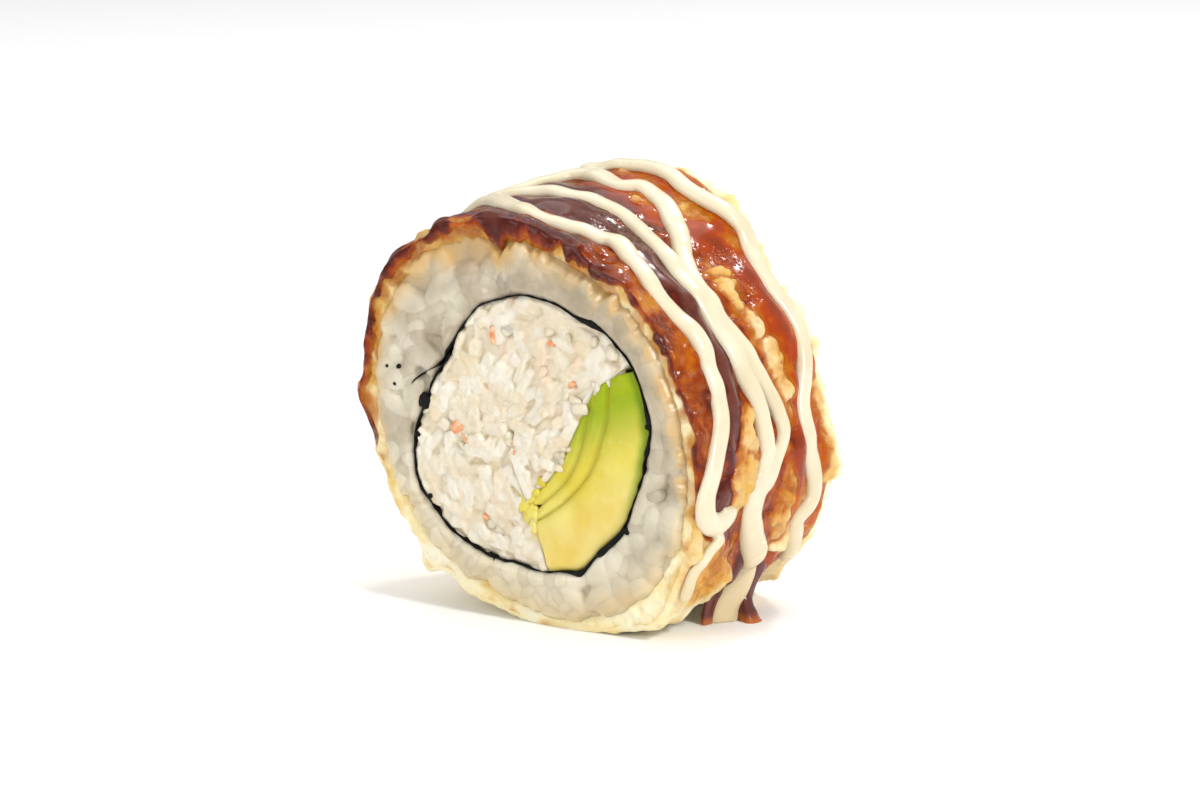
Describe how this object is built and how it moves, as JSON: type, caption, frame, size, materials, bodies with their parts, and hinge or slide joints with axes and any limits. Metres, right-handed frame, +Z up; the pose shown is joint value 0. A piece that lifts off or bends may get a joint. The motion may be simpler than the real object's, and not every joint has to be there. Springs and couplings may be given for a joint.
{
  "type": "fried sushi roll piece",
  "caption": "Thick round slice of a fried sushi roll on its browned side, with a rice ring, a seaweed spiral, crab and avocado filling, crisp batter and a zigzag drizzle.",
  "frame": {"origin": "on the floor under the middle of the overall bounding box", "axes": "+Z up, the roll's axis along Y, the cut face with the view of the filling towards -Y"},
  "size_m": [0.0458, 0.0269, 0.0457],
  "materials": {
    "batter": "browned fried batter under a glossy sauce and a pale drizzle",
    "rice": "moist cooked rice",
    "seaweed": "damp dark seaweed",
    "crab": "soft moist shreds",
    "avocado": "smooth ripe flesh, green at the rim and yellow inside"
  },
  "bodies": {
    "root": {"tempura_batter": "batter", "rice_ring": "rice", "nori_sheet": "seaweed", "crab_filling": "crab", "avocado_slice_1": "avocado", "avocado_slice_2": "avocado", "avocado_slice_3": "avocado"}
  },
  "joints": []
}
